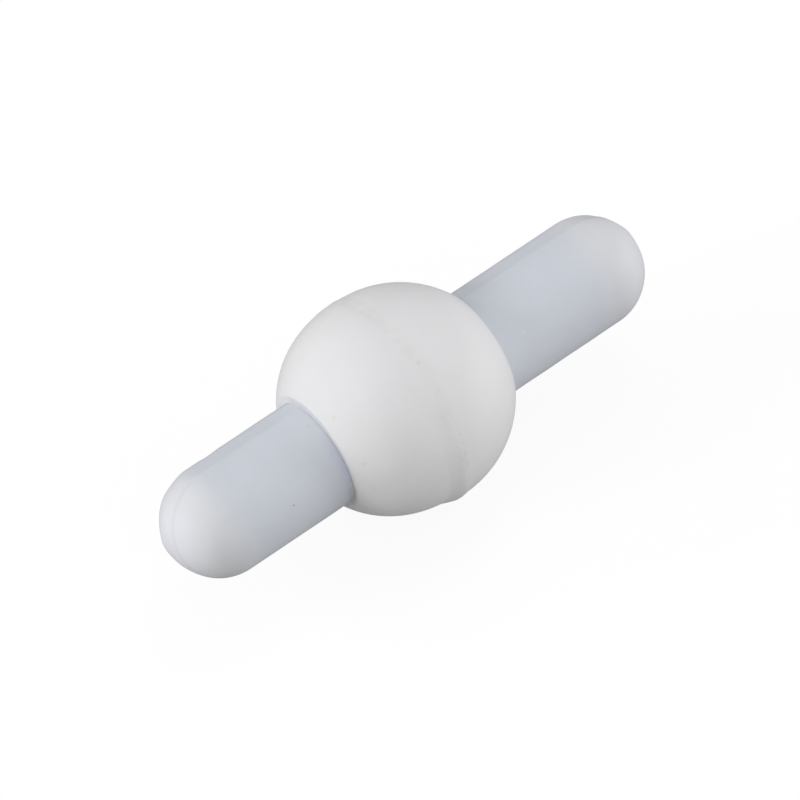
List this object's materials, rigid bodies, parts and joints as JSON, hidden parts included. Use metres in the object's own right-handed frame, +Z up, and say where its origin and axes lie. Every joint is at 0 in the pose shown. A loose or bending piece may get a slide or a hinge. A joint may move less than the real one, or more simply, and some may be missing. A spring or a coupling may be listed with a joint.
{
  "type": "magnetic stir bar",
  "caption": "Round-ended magnetic stir bar in a white plastic jacket, with a larger white ball pressed on near its middle that it spins on.",
  "frame": {"origin": "the bar's mid-length, on its axis", "axes": "+X along the bar towards its longer free end, +Z up, away from the point that the ball stands on"},
  "size_m": [0.0502, 0.02, 0.02],
  "materials": {
    "magnet": "dull cast magnet alloy, ground ends",
    "jacket": "smooth white PTFE, faintly translucent, so it looks blue-grey over the dark magnet",
    "ball": "solid white PTFE, satin, with a fine parting ridge"
  },
  "bodies": {
    "root": {"magnet": "magnet", "jacket": "jacket", "ball": "ball"}
  },
  "joints": []
}
